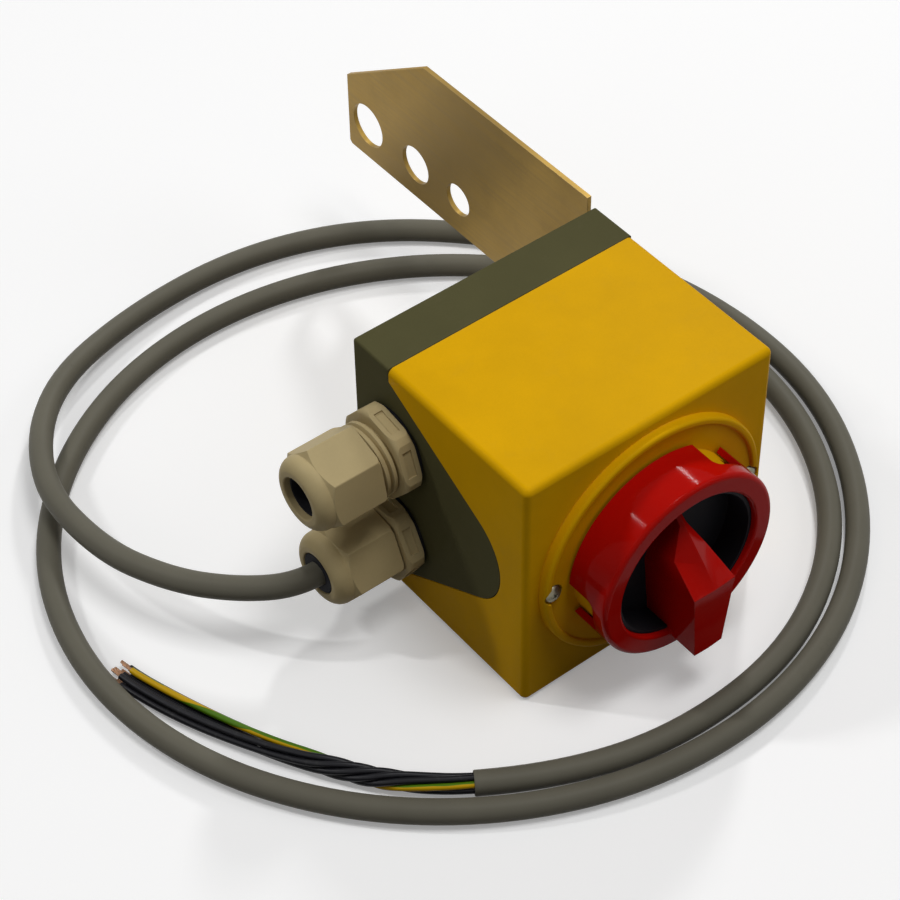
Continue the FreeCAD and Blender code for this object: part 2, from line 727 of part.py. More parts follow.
def bracket_arm():
    """Long leg of the folded bracket, with three holes and a cut corner."""
    x = width / 2 - sheet
    start = depth + fold_r
    corners = [
        (start, bracket_low), (bracket_end - bracket_chamfer, bracket_low),
        (bracket_end, bracket_low + bracket_chamfer), (bracket_end, bracket_cut_z),
        (bracket_cut, bracket_high), (start, bracket_high),
    ]
    plate = face_of([Vector(x, dy(d), z) for d, z in corners]).extrude(Vector(sheet, 0, 0))
    for d, r in bracket_holes:
        plate = plate.cut(rod_x(r, 0, width, d, bracket_hole_z))
    return plate


def bracket_points():
    """Screw positions of the bracket on the base's back."""
    return [(x, z) for x in bracket_screw_x for z in bracket_screw_z]


def bracket_screws():
    """Screws from inside the base through the bracket."""
    end = depth + sheet + 4.6
    return Part.makeCompound([pan_screw(2.0, 3.6, 2.4, floor_depth, end, x, z) for x, z in bracket_points()])


def bracket_nuts():
    """Hexagon nuts on the bracket's screws."""
    nuts = []
    for x, z in bracket_points():
        points = []
        for k in range(6):
            a = math.radians(60 * k)
            points.append(Vector(x + 4.04 * math.cos(a), dy(depth + sheet), z + 4.04 * math.sin(a)))
        nut = face_of(points).extrude(Vector(0, 3.2, 0))
        nuts.append(nut.cut(rod_y(2.05, depth, depth + 10, x, z)))
    return Part.makeCompound(nuts)


def route_wire(points):
    """Straight runs joined by the largest tangent arcs that the runs allow."""
    edges = []
    radii = []
    last = points[0]
    for before, here, after in zip(points, points[1:], points[2:]):
        a = before.sub(here)
        b = after.sub(here)
        reach = 0.45 * min(a.Length, b.Length)
        a.normalize()
        b.normalize()
        turn = math.pi - a.getAngle(b)
        radius = reach / math.tan(turn / 2)
        start = here.add(Vector(a).multiply(reach))
        end = here.add(Vector(b).multiply(reach))
        inward = a.add(b)
        inward.normalize()
        middle = here.add(inward.multiply(radius / math.cos(turn / 2) - radius))
        edges.append(Part.LineSegment(last, start).toShape())
        edges.append(Part.Arc(start, middle, end).toShape())
        radii.append(radius)
        last = end
    edges.append(Part.LineSegment(last, points[-1]).toShape())
    return Part.Wire(edges), radii


def tube(points, section, area, label):
    """Section swept along a route, with its radii and volume printed."""
    wire, radii = route_wire(points)
    solid = wire.makePipeShell([section], True, False)
    print(label, "length", round(wire.Length, 1), "least radius", round(min(radii), 1),
          "volume ratio", round(solid.Volume / (area * wire.Length), 4))
    return solid


def round_section(centre, direction, r):
    """Circle square to a direction."""
    return Part.Wire(Part.Circle(centre, direction, r).toShape())


def six_sided_section(centre, direction, r):
    """Hexagon square to a level direction, of the same area as a circle."""
    across = Vector(-direction.y, direction.x, 0)
    across.normalize()
    up = Vector(0, 0, 1)
    size = r * math.sqrt(math.pi / (1.5 * math.sqrt(3)))
    points = []
    for k in range(7):
        a = math.radians(60 * k)
        sideways = Vector(across).multiply(size * math.cos(a))
        points.append(centre.add(sideways).add(Vector(up).multiply(size * math.sin(a))))
    return Part.makePolygon(points)


def cable_sheath():
    """Grey sheath from the lower gland round the enclosure."""
    points = [Vector(p) for p in cable_route]
    first = points[1].sub(points[0])
    return tube(points, round_section(points[0], first, cable_r), math.pi * cable_r ** 2, "cable")


def cable_entry():
    """Straight length of sheath through the lower gland."""
    x0 = cable_route[0][0]
    return rod_x(cable_r, x0 + 0.05, -29.0, gland_depth, cable_route[0][2])


def core_points(index):
    """Route of one stripped core beside the others."""
    line = [Vector(x, y, 0) for x, y in core_line]
    points = []
    for k, here in enumerate(line):
        along = line[min(k + 1, len(line) - 1)].sub(line[max(k - 1, 0)])
        across = Vector(-along.y, along.x, 0)
        across.normalize()
        offset, z = (core_start, core_spread, core_lie)[min(k, 2)][index]
        place = here.add(across.multiply(offset))
        points.append(Vector(place.x, place.y, z))
    end = points[-1].sub(points[-2])
    end.normalize()
    points[-1] = points[-1].sub(end.multiply(core_short[index]))
    return points


def core(index):
    """One stripped core."""
    points = core_points(index)
    first = points[1].sub(points[0])
    start = points[0].add(Vector(first).normalize().multiply(0.25))
    points[0] = start
    section = six_sided_section(start, first, core_r)
    return tube(points, section, math.pi * core_r ** 2, "core")


def core_ends():
    """Bare conductor ends of the stripped cores."""
    ends = []
    for index in range(len(core_start)):
        points = core_points(index)
        along = points[-1].sub(points[-2])
        along.normalize()
        ends.append(Part.makeCylinder(conductor_r, bare_end, points[-1].add(Vector(along).multiply(0.15)), along))
    return Part.makeCompound(ends)


def save(name, shape):
    """Write one node and print its facts."""
    shape.exportStep("parts/" + name + ".step")
    print(name, len(shape.Solids), round(shape.Volume, 1), shape.isValid())


def main():
    """Build every node."""
    os.makedirs("parts", exist_ok=True)
    save("base", base())
    save("cover", cover())
    save("cover_gasket", cover_gasket())
    save("front_plate", front_plate())
    save("cover_screws", cover_screws())
    save("hub_seal", hub_seal())
    save("hub_ring", hub_ring())
    save("handle", handle())
    save("handle_liner", handle_liner())
    save("shaft", shaft())
    save("latch_block", latch_block())
    save("latch_housing", latch_housing())
    save("latch_springs", latch_springs())
    for index, place in enumerate(("front", "rear")):
        save("cam_" + place, cam(index))
        save("deck_" + place, deck(index))
        save("contacts_" + place, fixed_contacts(index))
        for sz, side in ((1, "upper"), (-1, "lower")):
            save("plunger_" + place + "_" + side, plunger(index, sz))
            save("bridge_" + place + "_" + side, bridge(index, sz))
            save("spring_" + place + "_" + side, contact_spring(index, sz))
    save("terminal_screws", terminal_screws())
    save("end_plate", end_plate())
    save("tie_screws", tie_screws())
    save("mounting_screws", mounting_screws())
    save("earth_terminal", earth_terminal())
    save("earth_screw", earth_screw())
    for name, z, out, turn, nut_turn in glands:
        bore = seal_r if out > 0 else cable_r + 0.05
        save(name + "_gland_body", gland_body(z, turn))
        save(name + "_gland_washer", gland_washer(z))
        save(name + "_gland_locknut", gland_locknut(z))
        save(name + "_gland_seal", gland_seal(z, bore))
        save(name + "_gland_nut", gland_nut(z, out, nut_turn))
    save("bracket_foot", bracket_foot())
    save("bracket_arm", bracket_arm())
    save("bracket_screws", bracket_screws())
    save("bracket_nuts", bracket_nuts())
    save("cable_entry", cable_entry())
    save("cable_sheath", cable_sheath())
    save("black_cores", Part.makeCompound([core(index) for index in range(6)]))
    save("earth_core", core(6))
    save("core_ends", core_ends())


main()
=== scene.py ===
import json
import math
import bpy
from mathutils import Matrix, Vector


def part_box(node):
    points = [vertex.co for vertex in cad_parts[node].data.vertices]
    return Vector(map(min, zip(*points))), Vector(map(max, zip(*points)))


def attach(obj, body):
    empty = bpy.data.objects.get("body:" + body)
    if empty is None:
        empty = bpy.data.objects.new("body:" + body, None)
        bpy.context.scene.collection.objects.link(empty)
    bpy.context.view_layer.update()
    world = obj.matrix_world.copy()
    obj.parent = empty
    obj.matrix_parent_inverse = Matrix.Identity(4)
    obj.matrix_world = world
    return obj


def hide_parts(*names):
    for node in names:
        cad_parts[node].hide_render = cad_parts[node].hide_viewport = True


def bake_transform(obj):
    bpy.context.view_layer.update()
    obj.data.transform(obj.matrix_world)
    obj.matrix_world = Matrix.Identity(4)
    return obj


bl_info = {
    "name": "Maintenance Isolator Switch",
    "version": (1, 0, 0),
    "blender": (4, 5, 0),
    "location": "View3D > Sidebar > Isolator",
    "description": "Dresses the packed isolator switch with its pieces, cords, finishes and stage",
    "category": "Object",
}

import bpy
from mathutils import Matrix, Vector

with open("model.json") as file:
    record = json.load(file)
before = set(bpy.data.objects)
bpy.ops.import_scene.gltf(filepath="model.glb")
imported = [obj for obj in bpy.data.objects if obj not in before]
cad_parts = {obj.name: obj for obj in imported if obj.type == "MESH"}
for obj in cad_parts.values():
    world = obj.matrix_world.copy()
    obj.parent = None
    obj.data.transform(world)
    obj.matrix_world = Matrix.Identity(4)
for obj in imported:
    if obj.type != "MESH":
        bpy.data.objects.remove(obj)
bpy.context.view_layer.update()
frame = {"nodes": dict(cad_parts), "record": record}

MM = 0.001
WELD = 0.002 * MM

# Depth of the enclosure, height of the handle's axis and thickness of the bracket, in millimetres
DEPTH = 73.3
AXIS_HEIGHT = 42.0
SHEET = 1.5

# Depth and radius of each hole in the bracket, their height, and x and height of its screws
BRACKET_HOLES = ((180.0, 7.5), (155.7, 6.5), (134.6, 5.5))
HOLE_HEIGHT = 45.9
BRACKET_SCREWS = ((26.0, 42.0), (26.0, 66.0), (-12.0, 42.0), (-12.0, 66.0))

# Route of the cable from the mouth of the lower gland, in millimetres
CABLE_ROUTE = (
    (-69.0, 19.35, 24.0), (-77.3, 19.35, 24.0), (-90.2, 29.0, 22.8), (-101.5, 44.8, 20.5),
    (-109.5, 70.5, 16.5), (-107.5, 108.0, 12.0), (-84.0, 141.5, 8.5), (-44.0, 157.0, 4.5),
    (-0.5, 159.0, 3.6), (38.5, 145.0, 3.6), (70.0, 116.5, 3.6), (93.0, 80.0, 3.6),
    (104.0, 39.0, 3.6), (101.0, -3.0, 3.6), (81.5, -41.0, 3.6), (50.0, -69.0, 3.6),
    (10.0, -82.5, 3.6), (-32.5, -80.5, 3.6), (-71.5, -64.5, 3.6), (-104.0, -37.0, 3.6),
    (-126.0, -0.5, 3.6), (-133.0, 41.0, 3.6), (-123.0, 82.0, 3.6), (-97.5, 114.5, 3.6),
    (-61.5, 135.5, 3.6), (-20.0, 141.5, 3.6), (21.5, 132.0, 3.6), (58.0, 108.5, 3.6),
    (84.5, 73.0, 3.6), (95.5, 30.5, 3.6), (88.5, -12.0, 3.6), (65.0, -48.0, 3.6),
    (28.0, -70.5, 3.6), (-15.0, -74.5, 3.6), (-51.0, -65.0, 3.6), (-70.0, -52.8, 3.6),
)

# Middle of the stripped bundle, its turn in degrees, and how far its cores spread
# sideways and upwards
BUNDLE = (
    (-70.2, -52.7, 3.6, 44.0, 2.0, 2.0), (-75.6, -48.8, 3.4, 36.0, 2.0, 2.0),
    (-80.9, -44.0, 3.15, 20.0, 2.0, 2.0), (-84.1, -40.9, 3.1, 6.0, 2.03, 2.03),
    (-86.8, -38.1, 3.1, -12.0, 2.06, 2.06), (-89.5, -35.1, 3.1, -42.0, 2.1, 2.1),
    (-92.0, -32.0, 3.1, -80.0, 2.12, 2.12), (-94.4, -28.6, 3.1, -118.0, 2.12, 2.12),
    (-96.8, -25.0, 3.1, -154.0, 2.12, 2.12), (-99.2, -21.3, 3.1, -186.0, 2.1, 2.1),
    (-101.4, -17.6, 3.1, -212.0, 2.1, 2.08), (-105.7, -9.9, 3.0, -232.0, 2.2, 2.0),
    (-109.7, -1.4, 2.7, -240.0, 2.5, 1.78), (-113.5, 7.2, 2.4, -240.0, 2.85, 1.52),
    (-117.2, 16.4, 2.2, -240.0, 3.1, 1.38), (-120.6, 26.0, 2.2, -240.0, 3.15, 1.36),
    (-123.3, 35.2, 2.2, -240.0, 3.0, 1.38), (-124.0, 39.4, 2.2, -240.0, 2.9, 1.42),
)

# Places of the earth core and the middle core among the seven, what each core is cut
# shorter by, and the lengths that are left
EARTH_CORE = 0
MIDDLE_CORE = 6
CORE_SHORT = (2.0, 0.0, 1.6, 3.2, 2.6, 1.0, 0.4)
CORE_LENGTHS = (107.7, 109.3, 107.9, 107.0, 108.2, 109.6, 108.5)


def srgb(red, green, blue):
    """Linear colour of screen values from 0 to 255."""
    linear = []
    for value in (red, green, blue):
        share = value / 255
        linear.append(share / 12.92 if share <= 0.04045 else ((share + 0.055) / 1.055) ** 2.4)
    return tuple(linear)


def spot(x, depth, z):
    """Point in metres from x and z in millimetres and a depth behind the cover's front face."""
    return Vector((x * MM, (depth - DEPTH / 2) * MM, z * MM))


class IsolatorSizes(bpy.types.PropertyGroup):
    """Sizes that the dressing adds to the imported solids."""

    edge: bpy.props.FloatProperty(
        name="Nut edge", description="Radius of the edges of the dome nuts",
        default=0.35 * MM, unit="LENGTH")
    cable: bpy.props.FloatProperty(
        name="Cable", description="Diameter of the cable's sheath",
        default=7.2 * MM, unit="LENGTH")
    core: bpy.props.FloatProperty(
        name="Core", description="Diameter of a stripped core",
        default=1.9 * MM, unit="LENGTH")
    bare_end: bpy.props.FloatProperty(
        name="Bare end", description="Length of bare conductor on each core",
        default=3.8 * MM, unit="LENGTH")
    thread_pitch: bpy.props.FloatProperty(
        name="Gland thread", description="Pitch of the thread under the upper dome nut",
        default=2.3 * MM, unit="LENGTH")
    floor: bpy.props.FloatProperty(
        name="Floor", description="Width of the floor",
        default=8.0, unit="LENGTH")


def colour_property(name, description, red, green, blue):
    """Colour property whose default is given in screen values."""
    return bpy.props.FloatVectorProperty(
        name=name, description=description, subtype="COLOR", size=3, min=0.0, max=1.0,
        default=srgb(red, green, blue))


class IsolatorColours(bpy.types.PropertyGroup):
    """Colours of the finishes."""

    yellow: colour_property("Yellow", "Cover and front plate", 226, 171, 5)
    grey: colour_property("Grey", "Base tray", 84, 81, 53)
    red: colour_property("Red", "Ring handle", 184, 14, 6)
    gland: colour_property("Gland", "Cable glands", 189, 171, 127)
    sheet: colour_property("Sheet", "Bracket", 160, 129, 57)
    cable: colour_property("Cable", "Sheath of the cable", 106, 103, 91)
    black: colour_property("Black", "Cores, seals and linings", 26, 26, 30)
    green: colour_property("Green", "Green of the earth core", 76, 116, 10)
    stripe: colour_property("Stripe", "Yellow stripe of the earth core", 206, 164, 12)
    copper: colour_property("Copper", "Bare conductors", 160, 114, 74)
    zinc: colour_property("Zinc", "Screws and nuts", 128, 124, 106)


def sizes():
    """Sizes of this scene."""
    return bpy.context.scene.isolator_sizes


def colours():
    """Colours of this scene."""
    return bpy.context.scene.isolator_colours


class Shade:
    """A socket of a finish's nodes that can stand in an expression."""

    def __init__(self, finish, socket):
        self.finish = finish
        self.socket = socket

    def maths(self, operation, first, second):
        """Math node on two values."""
        return self.finish.node("ShaderNodeMath", {"operation": operation}, {0: first, 1: second})

    def __add__(self, other):
        return self.maths("ADD", self, other)

    def __radd__(self, other):
        return self.maths("ADD", other, self)

    def __sub__(self, other):
        return self.maths("SUBTRACT", self, other)

    def __rsub__(self, other):
        return self.maths("SUBTRACT", other, self)

    def __mul__(self, other):
        return self.maths("MULTIPLY", self, other)

    def __rmul__(self, other):
        return self.maths("MULTIPLY", other, self)

    def __abs__(self):
        return self.maths("ABSOLUTE", self, 0.0)

    def fraction(self):
        """What is left over whole numbers."""
        return self.maths("FRACT", self, 0.0)

    def step(self, low, high):
        """0 below low, 1 above high and a straight rise between them."""
        return self.finish.node(
            "ShaderNodeMapRange", {"clamp": True}, {0: self, 1: low, 2: high, 3: 0.0, 4: 1.0})


class Finish:
    """The nodes of a material or of the surroundings."""

    def __init__(self, owner):
        owner.use_nodes = True
        self.owner = owner
        self.tree = owner.node_tree
        self.tree.nodes.clear()

    @property
    def place(self):
        """Object coordinates."""
        return self.node("ShaderNodeTexCoord", out="Object")

    def node(self, kind, settings=None, sockets=None, out=0):
        """Add a node, set it up, fill or link its sockets and return one output."""
        made = self.tree.nodes.new(kind)
        for key, value in (settings or {}).items():
            setattr(made, key, value)
        for key, value in (sockets or {}).items():
            if isinstance(value, Shade):
                self.tree.links.new(value.socket, made.inputs[key])
            elif isinstance(value, tuple) and len(made.inputs[key].default_value) == 4:
                made.inputs[key].default_value = (*value[:3], 1.0)
            else:
                made.inputs[key].default_value = value
        return Shade(self, made.outputs[out]) if made.outputs else None

    def part(self, vector, axis):
        """One coordinate of a vector."""
        return self.node("ShaderNodeSeparateXYZ", {}, {0: vector}, out=axis)

    def dot(self, first, second):
        """How far one vector runs along another."""
        return self.node(
            "ShaderNodeVectorMath", {"operation": "DOT_PRODUCT"},
            {0: first, 1: second}, out="Value")

    def stretched(self, scale, turn=(0.0, 0.0, 0.0)):
        """Object coordinates stretched for a pattern with a direction."""
        return self.node(
            "ShaderNodeMapping", {}, {"Vector": self.place, "Rotation": turn, "Scale": scale})

    def noise(self, scale, detail=2.0, rough=0.5, place=None):
        """Soft noise, between 0 and 1 about 0.5."""
        return self.node("ShaderNodeTexNoise", {}, {
            "Vector": place or self.place, "Scale": scale, "Detail": detail, "Roughness": rough})

    def blend(self, share, first, second):
        """Mix of two colours."""
        return self.node(
            "ShaderNodeMix", {"data_type": "RGBA"}, {0: share, 6: first, 7: second}, out=2)

    def rounded(self, radius):
        """Normal as if every edge were rounded."""
        return self.node("ShaderNodeBevel", {"samples": 6}, {"Radius": radius})

    def edges(self, radius, gain):
        """1 along edges, 0 on open faces."""
        flat = self.node("ShaderNodeNewGeometry", out="Normal")
        return ((1 - self.dot(self.rounded(radius), flat)) * gain).step(0.0, 1.0)

    def bump(self, height, distance, strength=1.0, normal=None):
        """Relief of a height."""
        sockets = {"Height": height, "Distance": distance, "Strength": strength}
        if normal:
            sockets["Normal"] = normal
        return self.node("ShaderNodeBump", {}, sockets)

    def surface(self, sockets):
        """End the finish in one principled shader."""
        shader = self.node("ShaderNodeBsdfPrincipled", {}, sockets)
        self.node("ShaderNodeOutputMaterial", {}, {"Surface": shader})
        return self.owner


def tint(colour, factor):
    """Colour made darker or lighter."""
    return tuple(min(1.0, value * factor) for value in colour)


def moulded(name, colour, rough, grain, relief, wear, gloss=0.04, dust=0.05, painted_low_shade=0.0):
    """Moulded plastic: cloudy colour, grain, rubbed edges, scratches, dust and, where asked,
    painted shade low on the front face.
    """
    finish = Finish(bpy.data.materials.new(name))
    cloud = finish.noise(38.0, 4.0, 0.6)
    fine = finish.noise(grain, 3.0, 0.6)
    scratched = finish.noise(60.0, 5.0, 0.7, finish.stretched((1.0, 9.0, 22.0), (0.3, 0.5, 0.4)))
    lines = scratched.step(0.62, 0.72)
    base = finish.blend(cloud.step(0.3, 0.7), tint(colour, 0.93), tint(colour, 1.05))
    base = finish.blend(fine.step(0.35, 0.75) * 0.16, base, tint(colour, 0.8))
    patchy = finish.noise(210.0, 3.0, 0.65).step(0.38, 0.62)
    rubbed = finish.edges(0.9 * MM, 3.0) * patchy * wear
    pale = tuple(0.75 * value + 0.12 for value in colour)
    base = finish.blend(rubbed, base, pale)
    dusty = finish.noise(95.0, 6.0, 0.7).step(0.55, 0.8) * dust
    base = finish.blend(dusty, base, srgb(128, 118, 96))
    if painted_low_shade:
        # Painted shade: the front face grows darker towards the bottom, where the handle's shadow
        # falls
        height = finish.part(finish.place, "Z")
        behind = finish.part(finish.place, "Y")
        front = 1 - behind.step(-36.4 * MM, -31 * MM)
        low = (1 - height.step(0.0, 42 * MM)) * (0.45 + cloud * 0.55) * front * painted_low_shade
        base = finish.blend(low, base, tint(colour, 0.3))
    shine = rough + (cloud - 0.5) * 0.12 + lines * 0.10 + rubbed * 0.15 + dusty * 0.5
    return finish.surface({
        "Base Color": base, "Roughness": shine, "Specular IOR Level": gloss,
        "Normal": finish.bump(fine + lines * 0.6, relief, 0.55, finish.rounded(0.25 * MM))})


def yellow_finish(name):
    """Satin yellow of the cover and the front plate, with painted shade low on its front face."""
    return moulded(name, tuple(colours().yellow), 0.44, 1700.0, 0.035 * MM, 0.25, 0.02, painted_low_shade=0.5)


def grey_finish(name):
    """Matt olive grey of the base."""
    return moulded(name, tuple(colours().grey), 0.55, 1500.0, 0.05 * MM, 0.3, 0.015, 0.08)


def red_finish(name):
    """Glossy red of the handle."""
    return moulded(name, tuple(colours().red), 0.09, 900.0, 0.002 * MM, 0.1, 0.026, 0.02)


def gland_finish(name):
    """Satin polyamide of the glands."""
    return moulded(name, tuple(colours().gland), 0.42, 1200.0, 0.02 * MM, 0.25, 0.05, 0.07)


def black_finish(name):
    """Dull black lining of the handle."""
    return moulded(name, tuple(colours().black), 0.5, 1500.0, 0.03 * MM, 0.06, 0.05, 0.03)


def switch_finish(name):
    """Dark thermoset of the switch block."""
    return moulded(name, srgb(84, 84, 90), 0.5, 1400.0, 0.03 * MM, 0.3)


def cam_finish(name):
    """Natural polyamide of cams and plungers."""
    return moulded(name, srgb(222, 220, 210), 0.4, 1200.0, 0.01 * MM, 0.1)


def rubber_finish(name):
    """Dull rubber with a fine bloom."""
    finish = Finish(bpy.data.materials.new(name))
    bloom = finish.noise(160.0, 5.0, 0.7)
    pores = finish.noise(2400.0, 2.0)
    base = finish.blend(bloom.step(0.4, 0.8) * 0.5, tuple(colours().black), srgb(52, 51, 50))
    return finish.surface({
        "Base Color": base, "Roughness": 0.62 + bloom * 0.2, "Specular IOR Level": 0.08,
        "Normal": finish.bump(pores, 0.03 * MM, 0.5)})


def metal(name, colour, rough, along, streak, stain, metallic=1.0, edge=0.5, painted_reflection_band=None):
    """Drawn or rolled metal: fine streaks, stains, bright edges and, where given, a painted dark
    reflection in a band across it.
    """
    finish = Finish(bpy.data.materials.new(name))
    brushed = finish.noise(streak, 4.0, 0.6, finish.stretched(along))
    cloud = finish.noise(55.0, 5.0, 0.65)
    blotch = finish.noise(26.0, 3.0, 0.6).step(0.45, 0.7)
    base = finish.blend(brushed.step(0.3, 0.7), tint(colour, 0.84), tint(colour, 1.1))
    base = finish.blend(cloud.step(0.5, 0.75) * stain, base, tint(colour, 0.6))
    base = finish.blend(blotch * stain * 0.6, base, tint(colour, 0.64))
    # Painted reflection: a darker band across the metal, fixed to the object
    if painted_reflection_band:
        across, middle, width = painted_reflection_band
        reach = finish.dot(finish.place, across) + (cloud - 0.5) * 0.5 * width
        off = abs(reach - middle).step(0.0, width)
        base = finish.blend((1 - off) * (1 + off) * 0.62, base, tint(colour, 0.5))
    bright = finish.edges(0.5 * MM, 3.5) * edge
    base = finish.blend(bright, base, tuple(0.5 * value + 0.35 for value in colour))
    shine = rough + (brushed - 0.5) * 0.28 + blotch * 0.08 - bright * 0.1
    return finish.surface({
        "Base Color": base, "Roughness": shine, "Metallic": metallic,
        "Normal": finish.bump(brushed, 0.012 * MM, 0.5, finish.rounded(0.12 * MM))})


def sheet_finish(name):
    """Passivated sheet with rolling lines along it and a painted dark reflection in a band across
    its long leg.
    """
    colour = tuple(colours().sheet)
    # Direction across the long leg, middle and width of the painted dark reflection
    painted_reflection_band = ((0.0, 0.813, 0.582), 117.8 * MM, 21 * MM)
    return metal(name, colour, 0.44, (40.0, 1.2, 40.0), 26.0, 0.45, 0.72, 0.15, painted_reflection_band)


def zinc_finish(name):
    """Bright zinc plating."""
    return metal(name, tuple(colours().zinc), 0.38, (6.0, 6.0, 6.0), 120.0, 0.3, edge=0.12)


def spring_finish(name):
    """Drawn spring steel."""
    return metal(name, srgb(176, 176, 178), 0.3, (6.0, 2.0, 6.0), 140.0, 0.25)


def brass_finish(name):
    """Plain brass of contacts and terminals."""
    return metal(name, srgb(214, 178, 104), 0.28, (3.0, 8.0, 3.0), 120.0, 0.35)


def copper_finish(name):
    """Bare drawn copper, slightly dulled."""
    return metal(name, tuple(colours().copper), 0.33, (4.0, 4.0, 4.0), 300.0, 0.4)


def sheath_finish(name):
    """Grey cable sheath with a faint dimple and handling marks."""
    finish = Finish(bpy.data.materials.new(name))
    colour = tuple(colours().cable)
    cloud = finish.noise(30.0, 4.0, 0.6)
    marks = finish.noise(140.0, 6.0, 0.75).step(0.6, 0.78)
    dimple = finish.noise(700.0, 3.0, 0.6)
    base = finish.blend(cloud.step(0.3, 0.7), tint(colour, 0.92), tint(colour, 1.07))
    base = finish.blend(marks * 0.22, base, srgb(70, 68, 62))
    shine = 0.42 + cloud * 0.12 + marks * 0.15
    return finish.surface({
        "Base Color": base, "Roughness": shine, "Specular IOR Level": 0.09,
        "Normal": finish.bump(dimple + marks * 0.5, 0.03 * MM, 0.5)})


def insulation(finish, base):
    """Smooth thin insulation of a core in a colour."""
    soft = finish.noise(220.0, 3.0, 0.6)
    return finish.surface({
        "Base Color": base, "Roughness": 0.27 + soft * 0.16, "Specular IOR Level": 0.16,
        "Normal": finish.bump(finish.noise(900.0, 2.0), 0.012 * MM, 0.5)})


def core_finish(name):
    """Black core insulation with a little powder from stripping."""
    finish = Finish(bpy.data.materials.new(name))
    powder = finish.noise(260.0, 5.0, 0.7).step(0.58, 0.75) * 0.16
    return insulation(finish, finish.blend(powder, tuple(colours().black), srgb(120, 118, 112)))


def earth_finish(name):
    """Green core insulation with a yellow stripe that winds round the core near its end."""
    finish = Finish(bpy.data.materials.new(name))
    place = finish.node("ShaderNodeTexCoord", out="UV")
    along = finish.part(place, "X")
    around = finish.part(place, "Y")
    wander = (finish.noise(70.0, 2.0) - 0.5) * 0.22
    twist = along.step(0.72, 0.91) * 0.82
    turn = (around + twist + wander + 0.62).fraction()
    stripe = 1 - abs(turn - 0.5).step(0.235, 0.265)
    return insulation(finish, finish.blend(stripe, tuple(colours().green), tuple(colours().stripe)))


FINISHES = {
    "yellow_plastic": yellow_finish,
    "grey_plastic": grey_finish,
    "red_plastic": red_finish,
    "black_plastic": black_finish,
    "gland_plastic": gland_finish,
    "black_rubber": rubber_finish,
    "bracket_steel": sheet_finish,
    "spring_steel": spring_finish,
    "zinc_steel": zinc_finish,
    "switch_plastic": switch_finish,
    "cam_plastic": cam_finish,
    "contact_brass": brass_finish,
    "cable_grey": sheath_finish,
    "core_black": core_finish,
    "core_green_yellow": earth_finish,
    "conductor_copper": copper_finish,
}


def finish_of(slot):
    """Material of a slot, made on its first use."""
    name = "finish_" + slot
    return bpy.data.materials.get(name) or FINISHES[slot](name)


def take(obj):
    """Select one object alone and make it active."""
    active = bpy.context.view_layer.objects.active
    if active and active.mode != "OBJECT":
        bpy.ops.object.mode_set(mode="OBJECT")
    bpy.ops.object.select_all(action="DESELECT")
    if obj:
        obj.select_set(True)
        bpy.context.view_layer.objects.active = obj
    return obj


def edit(obj, kind="VERT"):
    """Open an object for editing with nothing selected."""
    take(obj)
    bpy.ops.object.mode_set(mode="EDIT")
    bpy.ops.mesh.select_mode(type=kind)
    bpy.ops.mesh.select_all(action="DESELECT")


def pick(obj, test):
    """Open an object for editing with the vertices selected whose place passes a test."""
    edit(obj)
    bpy.ops.object.mode_set(mode="OBJECT")
    for vertex in obj.data.vertices:
        vertex.select = test(vertex.co)
    bpy.ops.object.mode_set(mode="EDIT")


def close(obj):
    """Weld an edited mesh, point its faces outwards and leave edit mode."""
    bpy.ops.mesh.select_all(action="SELECT")
    bpy.ops.mesh.remove_doubles(threshold=WELD)
    bpy.ops.mesh.normals_make_consistent(inside=False)
    bpy.ops.object.mode_set(mode="OBJECT")
    return obj


def shape(obj, kind, **settings):
    """Add a modifier, set it and apply it."""
    take(obj)
    added = obj.modifiers.new(kind.lower(), kind)
    for key, value in settings.items():
        setattr(added, key, value)
    bpy.ops.object.modifier_apply(modifier=added.name)
    return obj


def soften(obj, width, segments=3, angle=32.0):
    """Round every sharp edge of a piece and shade it smooth."""
    if width:
        shape(obj, "BEVEL", width=width, segments=segments, limit_method="ANGLE",
              angle_limit=math.radians(angle), use_clamp_overlap=True, miter_outer="MITER_ARC",
              harden_normals=False)
    take(obj)
    bpy.ops.object.shade_smooth_by_angle(angle=math.radians(angle))
    return shape(obj, "WEIGHTED_NORMAL", mode="FACE_AREA", weight=50, keep_sharp=True)


def cut(obj, tool, operation="DIFFERENCE"):
    """Cut a piece with a tool and remove the tool."""
    shape(obj, "BOOLEAN", operation=operation, object=tool, solver="EXACT")
    bpy.data.objects.remove(tool, do_unlink=True)
    return obj


def settle(obj):
    """Put an object's place, turn and size into its mesh."""
    take(obj)
    bpy.ops.object.transform_apply(location=True, rotation=True, scale=True)
    return obj


def join(name, objects):
    """One object out of several."""
    take(None)
    for obj in objects:
        obj.select_set(True)
    bpy.context.view_layer.objects.active = objects[0]
    bpy.ops.object.join()
    objects[0].name = name
    objects[0].data.name = name
    return objects[0]


def copies(obj, places):
    """Copies of an object, each with a mesh of its own, in place of the object."""
    made = []
    for place in places:
        copy = obj.copy()
        copy.data = obj.data.copy()
        bpy.context.scene.collection.objects.link(copy)
        copy.matrix_world = place
        made.append(settle(copy))
    bpy.data.objects.remove(obj, do_unlink=True)
    return made


def first_point(name, place):
    """Mesh of one selected vertex, left open for editing."""
    take(None)
    bpy.ops.mesh.primitive_plane_add(size=MM, location=(0, 0, 0))
    obj = bpy.context.object
    obj.name = name
    obj.data.name = name
    bpy.ops.object.mode_set(mode="EDIT")
    bpy.ops.mesh.select_mode(type="VERT")
    bpy.ops.mesh.select_all(action="SELECT")
    bpy.ops.mesh.merge(type="CENTER")
    bpy.ops.transform.translate(value=place)
    return obj


